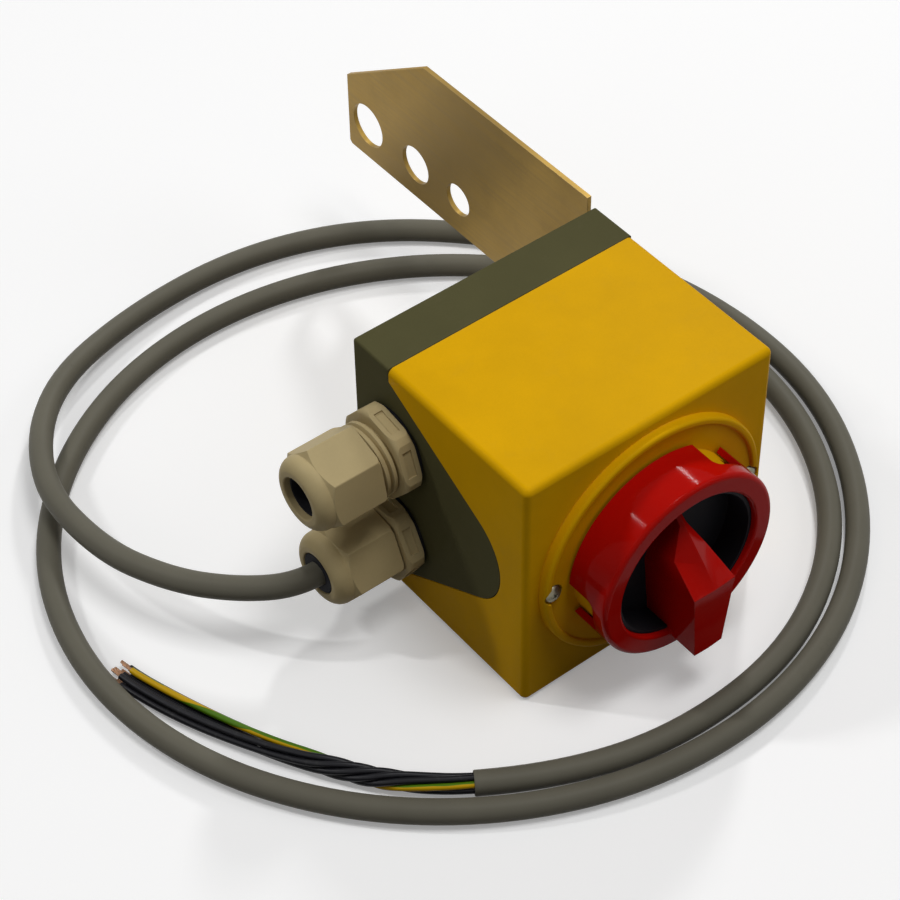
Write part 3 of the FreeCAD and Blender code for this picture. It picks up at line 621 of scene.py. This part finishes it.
def draw(name, points):
    """Line of edges through points, left open for editing with its last point selected."""
    points = [Vector(point) for point in points]
    obj = first_point(name, points[0])
    for before, after in zip(points, points[1:]):
        bpy.ops.mesh.extrude_region_move(TRANSFORM_OT_translate={"value": after - before})
    return obj


def turned(name, profile, steps=64):
    """Body of revolution about Z from (radius, height) points in millimetres."""
    obj = draw(name, [(r * MM, 0.0, h * MM) for r, h in profile])
    bpy.ops.mesh.select_all(action="SELECT")
    bpy.ops.mesh.spin(steps=steps, angle=2 * math.pi, center=(0, 0, 0), axis=(0, 0, 1))
    return close(obj)


def thread(name, root, crest, pitch, turns, steps=40, flank=0.42):
    """Screw thread about Z, from z = 0 upwards, in millimetres; a flank is a share of the pitch."""
    profile = ((root, 0.0), (crest, flank * pitch), (crest, (1 - flank) * pitch), (root, pitch))
    obj = draw(name, [(r * MM, 0.0, h * MM) for r, h in profile])
    bpy.ops.object.mode_set(mode="OBJECT")
    shape(obj, "SCREW", axis="Z", angle=2 * math.pi, screw_offset=pitch * MM, iterations=turns,
          steps=steps, render_steps=steps, use_merge_vertices=True, merge_threshold=WELD)
    edit(obj)
    bpy.ops.mesh.select_all(action="SELECT")
    bpy.ops.mesh.remove_doubles(threshold=WELD)
    bpy.ops.mesh.select_all(action="DESELECT")
    bpy.ops.mesh.select_non_manifold()
    bpy.ops.mesh.fill()
    return close(obj)


def dress(obj, slot, body, *nodes):
    """Give a piece its finish and its body, and let it stand for CAD nodes."""
    if obj.type == "MESH" and min(Vector(obj.bound_box[6]) - Vector(obj.bound_box[0])) < 0.1 * MM:
        raise RuntimeError(obj.name + " has no thickness")
    obj.data.materials.clear()
    obj.data.materials.append(finish_of(slot))
    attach(obj, body)
    if nodes:
        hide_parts(*nodes)
    return obj


def node_copy(node, name):
    """Welded copy of a CAD node with whole faces."""
    obj = bpy.data.objects.new(name, frame["nodes"][node].data.copy())
    obj.data.name = name
    bpy.context.scene.collection.objects.link(obj)
    take(obj)
    bpy.ops.mesh.customdata_custom_splitnormals_clear()
    bpy.ops.object.mode_set(mode="EDIT")
    bpy.ops.mesh.select_all(action="SELECT")
    bpy.ops.mesh.remove_doubles(threshold=WELD)
    bpy.ops.mesh.dissolve_limited(angle_limit=math.radians(0.6))
    bpy.ops.object.mode_set(mode="OBJECT")
    return obj


def refine(node, width, segments=3, angle=32.0):
    """Piece that stands for a CAD node with its edges rounded."""
    record = frame["record"]
    slot = next(part["material_slot"] for part in record["subparts"] if part["node"] == node)
    bodies = record["behaviour"]["bodies"]
    body = next(name for name, nodes in bodies.items() if node in nodes)
    obj = soften(node_copy(node, node + "_dressed"), width, segments, angle)
    return dress(obj, slot, body, node)


def line(name, points, diameter):
    """Round cord on a smooth spline whose control points are given in metres."""
    curve = bpy.data.curves.new(name, "CURVE")
    curve.dimensions = "3D"
    curve.resolution_u = 10
    curve.bevel_depth = diameter / 2
    curve.bevel_resolution = 6
    curve.use_fill_caps = True
    spline = curve.splines.new("NURBS")
    spline.points.add(len(points) - 1)
    for point, place in zip(spline.points, points):
        point.co = (*place, 1.0)
    spline.order_u = 3
    spline.use_endpoint_u = True
    obj = bpy.data.objects.new(name, curve)
    bpy.context.scene.collection.objects.link(obj)
    return obj


class ISOLATOR_OT_stage(bpy.types.Operator):
    """Camera, floor, lamps and surroundings"""

    bl_idname = "isolator.stage"
    bl_label = "Stage"

    def execute(self, context):
        self.camera()
        self.floor()
        self.lamps()
        self.surroundings()
        context.scene.view_settings.view_transform = "Standard"
        return {"FINISHED"}

    def camera(self):
        """Camera at the photograph's place and angle."""
        data = bpy.data.cameras.new("camera")
        data.lens = 106.98
        data.sensor_width = 36.0
        camera = bpy.data.objects.new("camera", data)
        bpy.context.scene.collection.objects.link(camera)
        right = Vector((0.78657, -0.61738, -0.01214))
        up = Vector((0.45260, 0.56303, 0.69148))
        back = Vector((-0.42007, -0.54939, 0.72229))
        turn = Matrix((right, up, back)).transposed().to_4x4()
        camera.matrix_world = Matrix.Translation((-0.3359, -0.3889, 0.5794)) @ turn
        bpy.context.scene.camera = camera

    def floor(self):
        """White floor that keeps shadows and throws little light back."""
        take(None)
        bpy.ops.mesh.primitive_plane_add(size=sizes().floor, location=(0, 0, -0.2 * MM))
        floor = settle(bpy.context.object)
        floor.name = "floor"
        finish = Finish(bpy.data.materials.new("floor"))
        seen = self.seen(finish)
        white = finish.node("ShaderNodeBsdfDiffuse", {}, {"Color": (0.86, 0.86, 0.86)})
        glow = finish.node(
            "ShaderNodeEmission", {}, {"Color": (1.0, 1.0, 1.0), "Strength": 0.24})
        bright = finish.node("ShaderNodeAddShader", {}, {0: white, 1: glow})
        dim = finish.node("ShaderNodeBsdfDiffuse", {}, {"Color": (0.16, 0.15, 0.14)})
        mixed = finish.node("ShaderNodeMixShader", {}, {0: seen, 1: dim, 2: bright})
        finish.node("ShaderNodeOutputMaterial", {}, {"Surface": mixed})
        floor.data.materials.append(finish.owner)

    def seen(self, finish):
        """1 for what the camera sees, straight, mirrored or through glass."""
        rays = [finish.node("ShaderNodeLightPath", out=name)
                for name in ("Is Camera Ray", "Is Glossy Ray", "Is Transmission Ray")]
        return (rays[0] + rays[1] + rays[2]).step(0.0, 1.0)

    def lamps(self):
        """Soft overhead lamp, weak ones in front and on the left, and two softboxes behind."""
        aim = Vector((0.0, 0.0, 0.05))
        self.lamp("overhead", aim, (0.10, -0.19, 0.97), 1.6, 0.6, 0.5, 9.4)
        self.lamp("front_box", aim, (0.60, -0.55, 0.58), 1.6, 0.8, 0.8, 2.6)
        self.lamp("side_box", aim, (-0.78, -0.12, 0.62), 1.6, 0.8, 0.8, 1.3)
        self.lamp("left_box", aim, (-0.488, 0.491, 0.722), 1.25, 0.045, 0.17, 2.8)
        self.lamp("right_box", aim, (0.590, 0.486, 0.645), 1.25, 0.09, 0.17, 3.7)

    def lamp(self, name, aim, direction, distance, width, height, power):
        """Rectangular lamp that looks at a point."""
        data = bpy.data.lights.new(name, "AREA")
        data.shape = "RECTANGLE"
        data.size = width
        data.size_y = height
        data.energy = power
        lamp = bpy.data.objects.new(name, data)
        bpy.context.scene.collection.objects.link(lamp)
        away = Vector(direction).normalized()
        turn = away.to_track_quat("Z", "Y").to_matrix().to_4x4()
        lamp.matrix_world = Matrix.Translation(aim + away * distance) @ turn

    def surroundings(self):
        """Dim even light all round, white where the camera sees it."""
        bpy.context.scene.world = bpy.data.worlds.new("surroundings")
        finish = Finish(bpy.context.scene.world)
        seen = self.seen(finish)
        strength = 0.12 + seen * 0.88
        sky = finish.node(
            "ShaderNodeBackground", {}, {"Color": (1.0, 1.0, 1.0), "Strength": strength})
        finish.node("ShaderNodeOutputWorld", {}, {"Surface": sky})


class ISOLATOR_OT_cable(bpy.types.Operator):
    """Cable from the lower gland, its cut end and the stripped cores"""

    bl_idname = "isolator.cable"
    bl_label = "Cable and cores"

    def execute(self, context):
        sheath = line("cable_sheath_cord", [Vector(p) * MM for p in CABLE_ROUTE], sizes().cable)
        dress(sheath, "cable_grey", "enclosure", "cable_sheath")
        ends = []
        cores = []
        for index in range(len(CORE_SHORT)):
            core, end = self.core(index)
            cores.append(core)
            ends.append(end)
        tips = join("conductor_ends", ends)
        soften(tips, 0.0)
        dress(tips, "conductor_copper", "enclosure", "core_ends")
        self.cut_end()
        for core, length in zip(cores, CORE_LENGTHS):
            length * MM
        return {"FINISHED"}

    def cut_end(self):
        """Open end of the sheath, slightly flared where it was cut round."""
        r = sizes().cable / 2 / MM
        profile = [(r - 0.75, 0.0), (r - 0.02, 0.0), (r, 1.6), (r - 0.04, 2.2),
                   (r - 0.2, 2.36), (r - 0.6, 2.3), (r - 0.75, 2.1), (r - 0.75, 0.0)]
        end = turned("sheath_end", profile, 40)
        last, before = (Vector(CABLE_ROUTE[k]) * MM for k in (-1, -2))
        along = (last - before).normalized()
        turn = along.to_track_quat("Z", "Y").to_matrix().to_4x4()
        end.matrix_world = Matrix.Translation(last - along * 0.1 * MM) @ turn
        settle(end)
        soften(end, 0.0, angle=50.0)
        return dress(end, "cable_grey", "enclosure")

    def route(self, index):
        """Control points of one core: one in the middle, the others round it."""
        points = []
        for here, (x, y, z, turn, wide, high) in enumerate(BUNDLE):
            before = BUNDLE[max(here - 1, 0)]
            after = BUNDLE[min(here + 1, len(BUNDLE) - 1)]
            along = Vector((after[0] - before[0], after[1] - before[1], 0.0)).normalized()
            across = Vector((-along.y, along.x, 0.0))
            angle = math.radians(turn + 60 * index)
            reach = 0.0 if index == MIDDLE_CORE else 1.0
            if index == EARTH_CORE:
                reach += 0.17 * (wide - high)
            place = Vector((x, y, z)) + across * reach * wide * math.cos(angle)
            place.z += reach * high * math.sin(angle)
            points.append(place * MM)
        last = (points[-1] - points[-2]).normalized()
        points[-1] = points[-1] - last * CORE_SHORT[index] * MM
        return points, last

    def core(self, index):
        """One core and the bare strands at its end."""
        points, last = self.route(index)
        name = "earth_core_cord" if index == EARTH_CORE else "black_core_%d" % index
        core = line(name, points, sizes().core)
        if index == EARTH_CORE:
            dress(core, "core_green_yellow", "enclosure", "earth_core")
        else:
            dress(core, "core_black", "enclosure", "black_cores")
        end = self.strands("strands_%d" % index)
        turn = last.to_track_quat("Z", "Y").to_matrix().to_4x4()
        end.matrix_world = Matrix.Translation(points[-1] - last * 0.3 * MM) @ turn
        return core, settle(end)

    def strands(self, name):
        """Seven twisted wires along Z."""
        wires = []
        steps = 8
        twist = math.radians(-26)
        for radius, start in ((0.0, 0.0), *((0.36, 60.0 * k) for k in range(6))):
            take(None)
            a = math.radians(start)
            bpy.ops.mesh.primitive_circle_add(
                vertices=8, radius=0.18 * MM, fill_type="NGON",
                location=(radius * MM * math.cos(a), radius * MM * math.sin(a), 0))
            wire = settle(bpy.context.object)
            bpy.ops.object.mode_set(mode="EDIT")
            for _ in range(steps):
                bpy.ops.mesh.select_all(action="SELECT")
                self.last_face(wire)
                bpy.ops.mesh.extrude_region_move(
                    TRANSFORM_OT_translate={"value": (0, 0, sizes().bare_end / steps)})
                bpy.ops.transform.rotate(
                    value=twist, orient_axis="Z", center_override=(0, 0, 0))
            wires.append(close(wire))
        return join(name, wires)

    def last_face(self, wire):
        """Select only the highest face."""
        bpy.ops.object.mode_set(mode="OBJECT")
        top = max(vertex.co.z for vertex in wire.data.vertices)
        for face in wire.data.polygons:
            face.select = all(wire.data.vertices[v].co.z > top - 1e-7 for v in face.vertices)
        bpy.ops.object.mode_set(mode="EDIT")
        bpy.ops.mesh.select_mode(type="FACE")


class ISOLATOR_OT_enclosure(bpy.types.Operator):
    """Base tray, cover and front plate"""

    bl_idname = "isolator.enclosure"
    bl_label = "Enclosure"

    def execute(self, context):
        refine("base", 0.25 * MM)
        refine("cover", 0.25 * MM)
        refine("front_plate", 0.15 * MM)
        return {"FINISHED"}


class ISOLATOR_OT_handle(bpy.types.Operator):
    """Ring handle and the lining of its hollow"""

    bl_idname = "isolator.handle"
    bl_label = "Handle"

    def execute(self, context):
        refine("handle", 0.4 * MM)
        refine("handle_liner", 0.1 * MM)
        return {"FINISHED"}


class ISOLATOR_OT_glands(bpy.types.Operator):
    """Cable glands with their nuts, seals and the open thread of the upper one"""

    bl_idname = "isolator.glands"
    bl_label = "Cable glands"

    def execute(self, context):
        for side in ("upper", "lower"):
            refine(side + "_gland_body", 0.3 * MM, angle=20.0)
            refine(side + "_gland_nut", sizes().edge, angle=20.0)
            refine(side + "_gland_seal", 0.25 * MM)
            refine(side + "_gland_washer", 0.2 * MM)
        self.push_out(bpy.data.objects["upper_gland_seal_dressed"])
        self.neck_thread()
        return {"FINISHED"}

    def push_out(self, seal):
        """Lip of the upper seal drawn out towards the mouth of the unscrewed nut."""
        mouth = min(vertex.co.x for vertex in seal.data.vertices)
        pick(seal, lambda place: place.x < mouth + 1.0 * MM)
        bpy.ops.transform.translate(value=(-2.8 * MM, 0, 0))
        bpy.ops.object.mode_set(mode="OBJECT")

    def neck_thread(self):
        """Thread on the neck of the upper gland, from its flange into its nut."""
        pitch = sizes().thread_pitch / MM
        obj = thread("upper_gland_thread", 9.5, 11.2, pitch, 2, 64, 0.27)
        low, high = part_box("upper_gland_body")
        middle = (low + high) / 2
        start = Matrix.Rotation(math.radians(200), 4, "Z")
        turn = Matrix.Rotation(math.radians(-90), 4, "Y") @ start
        obj.matrix_world = Matrix.Translation((-48.9 * MM, middle.y, middle.z)) @ turn
        settle(obj)
        soften(obj, 0.0, angle=40.0)
        dress(obj, "gland_plastic", "enclosure")


class ISOLATOR_OT_bracket(bpy.types.Operator):
    """Folded bracket and the nuts on its screws"""

    bl_idname = "isolator.bracket"
    bl_label = "Bracket"

    def execute(self, context):
        self.sheet()
        self.nuts()
        return {"FINISHED"}

    def sheet(self):
        """One sheet: drawn as a line, raised, thickened, cut and drilled."""
        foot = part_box("bracket_foot")
        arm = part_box("bracket_arm")
        half = SHEET / 2 * MM
        y = foot[0].y + half
        x = arm[1].x - half
        z = arm[0].z
        obj = draw("bracket", [(foot[0].x, y, z), (x, y, z), (x, arm[1].y, z)])
        fold = Vector((x, y, z))
        pick(obj, lambda place: (place - fold).length < WELD)
        bpy.ops.mesh.bevel(offset=1.25 * MM, segments=8, affect="VERTICES")
        bpy.ops.mesh.select_all(action="SELECT")
        bpy.ops.mesh.extrude_region_move(TRANSFORM_OT_translate={"value": (0, 0, arm[1].z - z)})
        close(obj)
        shape(obj, "SOLIDIFY", thickness=2 * half, offset=0.0, use_even_offset=True)
        edit(obj)
        slope = Vector((0.0, 86.6 - 60.1, 190.0 - 150.5)).normalized()
        corner = Vector((0.0, 1.0, -1.0)).normalized()
        for place, away in ((spot(42.5, 150.5, 86.6), slope), (spot(42.5, 190.0, 34.1), corner)):
            bpy.ops.mesh.select_all(action="SELECT")
            bpy.ops.mesh.bisect(plane_co=place, plane_no=away, use_fill=True, clear_outer=True)
        close(obj)
        # The short leg ends below the top of the enclosure
        take(None)
        bpy.ops.mesh.primitive_cube_add(size=1.0, location=spot(0.0, DEPTH, 90.0))
        bpy.context.object.scale = (0.1, 4 * MM, 20 * MM)
        cut(obj, settle(bpy.context.object))
        for depth, radius in BRACKET_HOLES:
            self.drill(obj, spot(41.75, depth, HOLE_HEIGHT), radius, "X")
        for x, z in BRACKET_SCREWS:
            self.drill(obj, spot(x, DEPTH + SHEET / 2, z), 2.2, "Y")
        soften(obj, 0.22 * MM, 2, 40.0)
        dress(obj, "bracket_steel", "enclosure", "bracket_foot", "bracket_arm")

    def drill(self, obj, place, radius, axis):
        """Round hole through the sheet."""
        take(None)
        turn = (0, math.pi / 2, 0) if axis == "X" else (math.pi / 2, 0, 0)
        bpy.ops.mesh.primitive_cylinder_add(
            vertices=72, radius=radius * MM, depth=8 * MM, location=place, rotation=turn)
        cut(obj, settle(bpy.context.object))

    def nuts(self):
        """Chamfered hexagon nuts, each with the threaded end of its screw."""
        take(None)
        bpy.ops.mesh.primitive_cylinder_add(
            vertices=6, radius=4.04 * MM, depth=3.2 * MM, location=(0, 0, 1.6 * MM))
        nut = settle(bpy.context.object)
        chamfer = [(0, -0.1), (3.65, -0.1), (4.3, 0.45), (4.3, 2.75), (3.65, 3.3), (0, 3.3)]
        cut(nut, turned("chamfer", chamfer), "INTERSECT")
        hole = [(0, -0.5), (2.6, -0.5), (2.03, 0.4), (2.03, 2.8), (2.6, 3.7), (0, 3.7)]
        cut(nut, turned("thread_hole", hole, 48))
        soften(nut, 0.08 * MM, 2)
        end = thread("screw_end", 1.62, 2.0, 0.7, 4, 24)
        end.location.z = 1.75 * MM
        nut = join("bracket_nuts_dressed", [nut, settle(end)])
        turn = Matrix.Rotation(math.radians(-90), 4, "X")
        places = []
        for index, (x, z) in enumerate(BRACKET_SCREWS):
            spin = Matrix.Rotation(math.radians(17 * index), 4, "Z")
            places.append(Matrix.Translation(spot(x, DEPTH + SHEET, z)) @ turn @ spin)
        nuts = join("bracket_nuts_dressed", copies(nut, places))
        soften(nuts, 0.0)
        dress(nuts, "zinc_steel", "enclosure", "bracket_nuts")


class ISOLATOR_OT_cover_screws(bpy.types.Operator):
    """Two cross-recess screws in the front plate"""

    bl_idname = "isolator.cover_screws"
    bl_label = "Cover screws"

    def execute(self, context):
        profile = [(0, -24.0), (1.0, -24.0), (1.65, -23.2), (1.65, 1.4), (2.75, 1.4), (2.9, 1.55),
                   (2.9, 1.85), (2.7, 2.3), (2.3, 2.65), (1.6, 2.95), (0.8, 3.15), (0, 3.2)]
        screw = turned("screw", profile, 48)
        cut(screw, self.recess())
        soften(screw, 0.07 * MM, 2, 30.0)
        turn = Matrix.Rotation(math.radians(90), 4, "X")
        places = []
        for x, angle in ((-34.7, 24.0), (34.7, -12.0)):
            spin = Matrix.Rotation(math.radians(angle), 4, "Z")
            places.append(Matrix.Translation(spot(x, 0.0, AXIS_HEIGHT)) @ turn @ spin)
        screws = join("cover_screws_dressed", copies(screw, places))
        soften(screws, 0.0)
        dress(screws, "zinc_steel", "enclosure", "cover_screws")
        return {"FINISHED"}

    def recess(self):
        """Narrow cross with straight walls."""
        wings = []
        for turn in (0.0, 90.0):
            take(None)
            bpy.ops.mesh.primitive_cube_add(size=1.0, location=(0, 0, 0))
            wing = bpy.context.object
            wing.scale = (1.665 * MM, 0.45 * MM, 3.0 * MM)
            wing.location = (0, 0, 3.0 * MM)
            wing.rotation_euler = (0, 0, math.radians(turn))
            wings.append(settle(wing))
        return cut(wings[0], wings[1], "UNION")


class ISOLATOR_OT_contact_springs(bpy.types.Operator):
    """Coil springs that press the contact plungers onto the cams"""

    bl_idname = "isolator.contact_springs"
    bl_label = "Contact springs"

    def execute(self, context):
        names = ("front_upper", "front_lower", "rear_upper", "rear_lower")
        boxes = [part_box("spring_" + name) for name in names]
        places = []
        for low, high in boxes:
            middle = (low + high) / 2
            places.append(Matrix.Translation((middle.x, middle.y, low.z)))
        coils = copies(self.coil(), places)
        for name, (low, high), spring in zip(names, boxes, coils):
            spring.name = "spring_" + name + "_coil"
            spring.data.name = spring.name
            spring.data.materials.append(finish_of("spring_steel"))
            "plunger_" + name
            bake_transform(spring)
            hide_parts("spring_" + name)
        return {"FINISHED"}

    def coil(self):
        """One spring of round wire about Z, standing on z = 0."""
        wire = 0.25 * MM
        take(None)
        bpy.ops.mesh.primitive_circle_add(
            vertices=12, radius=wire, location=(2.9 * MM, 0, wire), rotation=(math.pi / 2, 0, 0))
        spring = settle(bpy.context.object)
        shape(spring, "SCREW", axis="Z", angle=2 * math.pi, screw_offset=1.9 * MM, iterations=4,
              steps=32, render_steps=32, use_merge_vertices=True, merge_threshold=WELD)
        edit(spring)
        bpy.ops.mesh.select_all(action="SELECT")
        bpy.ops.mesh.fill_holes(sides=0)
        return soften(close(spring), 0.0)


class ISOLATOR_OT_plain_nodes(bpy.types.Operator):
    """Finish of every CAD node that shows as it is"""

    bl_idname = "isolator.plain_nodes"
    bl_label = "Plain nodes"

    def execute(self, context):
        for part in frame["record"]["subparts"]:
            node = frame["nodes"][part["node"]]
            if node.hide_render:
                continue
            if not node.material_slots:
                raise RuntimeError(part["node"] + " has no material slot")
            for place in node.material_slots:
                place.material = finish_of(part["material_slot"])
        return {"FINISHED"}


OPERATORS = (
    ISOLATOR_OT_stage,
    ISOLATOR_OT_cable,
    ISOLATOR_OT_enclosure,
    ISOLATOR_OT_handle,
    ISOLATOR_OT_glands,
    ISOLATOR_OT_bracket,
    ISOLATOR_OT_cover_screws,
    ISOLATOR_OT_contact_springs,
    ISOLATOR_OT_plain_nodes,
)


class ISOLATOR_PT_panel(bpy.types.Panel):
    """Sidebar list of the pieces"""

    bl_idname = "ISOLATOR_PT_panel"
    bl_label = "Isolator"
    bl_space_type = "VIEW_3D"
    bl_region_type = "UI"
    bl_category = "Isolator"

    def draw(self, context):
        for group in (context.scene.isolator_sizes, context.scene.isolator_colours):
            column = self.layout.column()
            for name in group.__annotations__:
                column.prop(group, name)
        for operator in OPERATORS:
            self.layout.operator(operator.bl_idname)


CLASSES = (IsolatorSizes, IsolatorColours, *OPERATORS, ISOLATOR_PT_panel)


def register():
    """Add the classes and the scene's sizes and colours."""
    for entry in CLASSES:
        bpy.utils.register_class(entry)
    bpy.types.Scene.isolator_sizes = bpy.props.PointerProperty(type=IsolatorSizes)
    bpy.types.Scene.isolator_colours = bpy.props.PointerProperty(type=IsolatorColours)


def unregister():
    """Take out what register added."""
    del bpy.types.Scene.isolator_colours
    del bpy.types.Scene.isolator_sizes
    for entry in reversed(CLASSES):
        bpy.utils.unregister_class(entry)


def main():
    """Build the whole scene."""
    register()
    bpy.ops.isolator.stage()
    bpy.ops.isolator.cable()
    bpy.ops.isolator.enclosure()
    bpy.ops.isolator.handle()
    bpy.ops.isolator.glands()
    bpy.ops.isolator.bracket()
    bpy.ops.isolator.cover_screws()
    bpy.ops.isolator.contact_springs()
    bpy.ops.isolator.plain_nodes()


if __name__ == "__main__":
    main()
